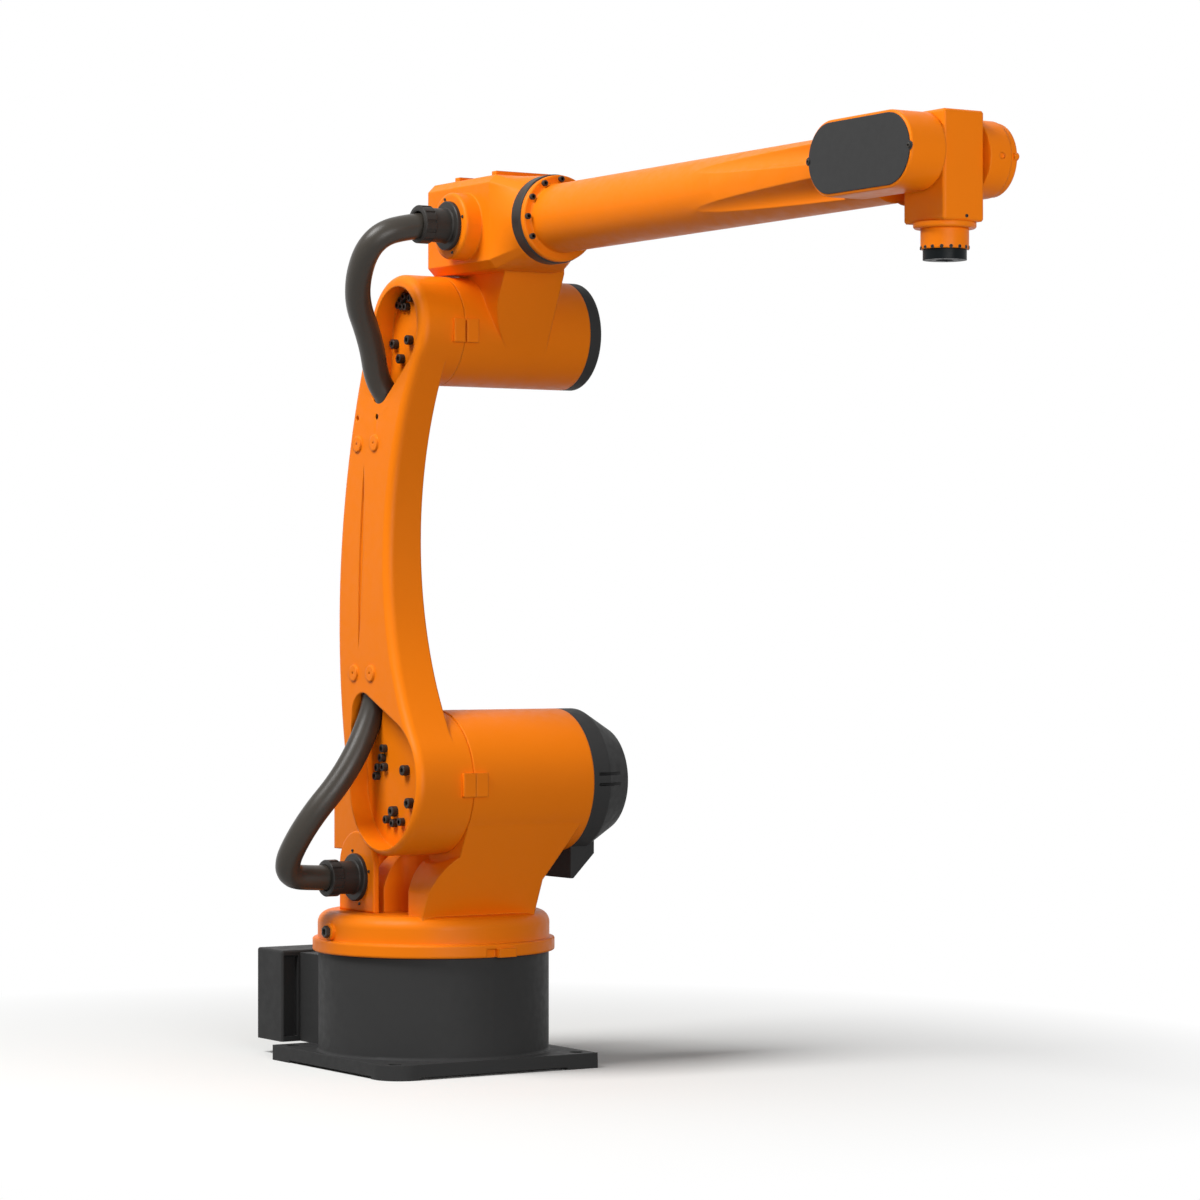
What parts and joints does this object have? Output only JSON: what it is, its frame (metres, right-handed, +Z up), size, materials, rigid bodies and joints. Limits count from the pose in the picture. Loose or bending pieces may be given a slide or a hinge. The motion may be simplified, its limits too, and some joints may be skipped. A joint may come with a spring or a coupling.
{
  "type": "industrial robot arm",
  "caption": "Floor-mounted jointed robot arm: bolted square base, turning shoulder, bowed lower arm, long round forearm, forked wrist and round tool flange.",
  "frame": {"origin": "on the waist axis, at the underside of the base plate", "axes": "+X the way the arm reaches at rest, +Y towards the motor covers, +Z up"},
  "size_m": [1.745, 0.5315, 1.4435],
  "materials": {
    "orange_paint": "satin paint on castings",
    "charcoal_paint": "matt dark grey paint",
    "black_plastic": "matt black",
    "hose_rubber": "satin dark hose",
    "dark_steel": "blackened steel"
  },
  "bodies": {
    "base": {"base_casting": "charcoal_paint", "connector_box": "charcoal_paint"},
    "carousel": {"carousel_casting": "orange_paint", "gland_plate": "orange_paint", "lower_gland": "black_plastic", "shoulder_motor_cover": "charcoal_paint", "oil_plug": "dark_steel", "shoulder_mark": "orange_paint", "lower_hose": "hose_rubber"},
    "lower_arm": {"lower_arm": "orange_paint", "lower_arm_mark": "orange_paint", "upper_arm_mark": "orange_paint", "arm_hose": "hose_rubber"},
    "elbow": {"elbow_housing": "orange_paint", "elbow_motor_cap": "charcoal_paint", "forearm_seal_ring": "black_plastic", "rear_top_rib": "orange_paint", "front_top_rib": "orange_paint", "elbow_mark": "orange_paint", "upper_gland": "black_plastic", "upper_hose": "hose_rubber"},
    "forearm": {"forearm_casting": "orange_paint", "belt_cover": "charcoal_paint"},
    "wrist": {"wrist_block": "orange_paint", "wrist_collar": "orange_paint", "wrist_neck": "orange_paint"},
    "tool": {"tool_flange": "dark_steel"}
  },
  "joints": [
    {"name": "waist_turn", "type": "hinge", "parent": "base", "child": "carousel", "pos_m": [0, 0, 0], "axis": [0, 0, 1], "range_deg": [-170, 170]},
    {"name": "shoulder_swing", "type": "hinge", "parent": "carousel", "child": "lower_arm", "pos_m": [0.13, 0, 0.47], "axis": [0, 1, 0], "range_deg": [-60, 110], "deforming": ["lower_hose"]},
    {"name": "elbow_swing", "type": "hinge", "parent": "lower_arm", "child": "elbow", "pos_m": [0.13, 0, 1.198], "axis": [0, -1, 0], "range_deg": [-75, 140], "deforming": ["upper_hose"]},
    {"name": "forearm_roll", "type": "hinge", "parent": "elbow", "child": "forearm", "pos_m": [0.4, 0, 1.3615], "axis": [1, 0, 0], "range_deg": [-180, 180]},
    {"name": "wrist_bend", "type": "hinge", "parent": "forearm", "child": "wrist", "pos_m": [1.376, 0, 1.3615], "axis": [0, -1, 0], "range_deg": [-25, 205]},
    {"name": "flange_turn", "type": "hinge", "parent": "wrist", "child": "tool", "pos_m": [1.376, 0, 1.221], "axis": [0, 0, -1], "range_deg": [-360, 360]}
  ]
}
